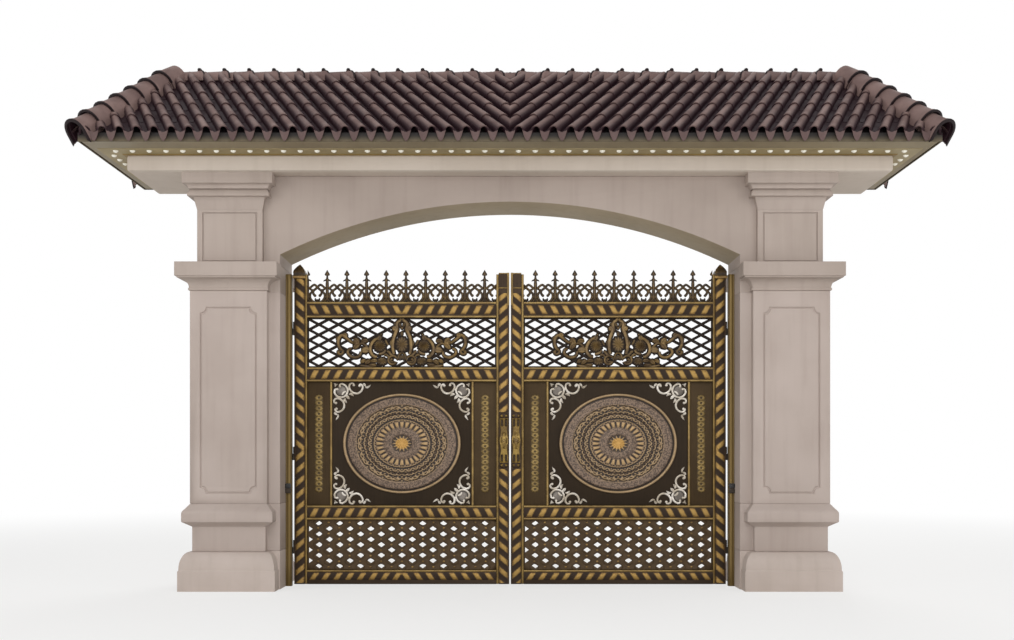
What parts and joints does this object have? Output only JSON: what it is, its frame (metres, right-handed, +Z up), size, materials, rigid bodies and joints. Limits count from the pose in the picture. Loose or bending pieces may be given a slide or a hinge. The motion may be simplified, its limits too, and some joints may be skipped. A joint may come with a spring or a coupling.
{
  "type": "double-leaf cast aluminium gate in a tiled portal",
  "caption": "Double-leaf cast aluminium gate with lattice and medallion panels, hung in a rendered arch portal under a hipped barrel-tile roof.",
  "frame": {"origin": "middle of the passage at ground level, in the plane of the closed leaves", "axes": "+X to the right seen from outside, +Y inwards through the gate, +Z up"},
  "size_m": [7.2506, 1.8614, 4.6098],
  "materials": {
    "render": "smooth painted masonry render",
    "roof_tile": "dark brown clay tile, slight sheen",
    "soffit_paint": "khaki painted eave board",
    "cream_glaze": "cream glazed",
    "bronze": "dark bronze coating on cast aluminium",
    "antique_gold": "brushed antique gold coating on cast aluminium",
    "pale_silver": "pale antique silver coating on cast aluminium",
    "dark_steel": "dark coated steel hinges",
    "black_plastic": "black housing"
  },
  "bodies": {
    "portal": {"left_plinth": "render", "left_pedestal": "render", "left_shaft": "render", "left_capital": "render", "left_upper_pier": "render", "left_upper_capital": "render", "right_plinth": "render", "right_pedestal": "render", "right_shaft": "render", "right_capital": "render", "right_upper_pier": "render", "right_upper_capital": "render", "arch_beam": "render", "cornice": "render", "eave_board": "soffit_paint", "front_slope": "roof_tile", "back_slope": "roof_tile", "left_hip_slope": "roof_tile", "right_hip_slope": "roof_tile", "ridge_caps": "roof_tile", "hip_caps": "roof_tile", "eave_buttons": "cream_glaze", "left_jamb_channel": "antique_gold", "left_hinge_pins": "dark_steel", "right_jamb_channel": "antique_gold", "right_hinge_pins": "dark_steel", "sensor_blocks": "black_plastic"},
    "left_leaf": {"left_stiles": "bronze", "left_rails": "bronze", "left_cresting": "antique_gold", "left_finials": "antique_gold", "left_upper_lattice": "bronze", "left_palmette": "antique_gold", "left_centre_panel": "bronze", "left_medallion": "antique_gold", "left_corner_scrolls": "pale_silver", "left_chain_strips": "antique_gold", "left_lower_lattice": "bronze", "left_handle": "antique_gold", "left_hinge_straps": "dark_steel"},
    "right_leaf": {"right_stiles": "bronze", "right_rails": "bronze", "right_cresting": "antique_gold", "right_finials": "antique_gold", "right_upper_lattice": "bronze", "right_palmette": "antique_gold", "right_centre_panel": "bronze", "right_medallion": "antique_gold", "right_corner_scrolls": "pale_silver", "right_chain_strips": "antique_gold", "right_lower_lattice": "bronze", "right_handle": "antique_gold", "right_hinge_straps": "dark_steel"}
  },
  "joints": [
    {"name": "left_leaf_swing", "type": "hinge", "parent": "portal", "child": "left_leaf", "pos_m": [-1.934, 0.048, 1.4], "axis": [0, 0, 1], "range_deg": [0, 90]},
    {"name": "right_leaf_swing", "type": "hinge", "parent": "portal", "child": "right_leaf", "pos_m": [1.934, 0.048, 1.4], "axis": [0, 0, -1], "range_deg": [0, 90]}
  ]
}
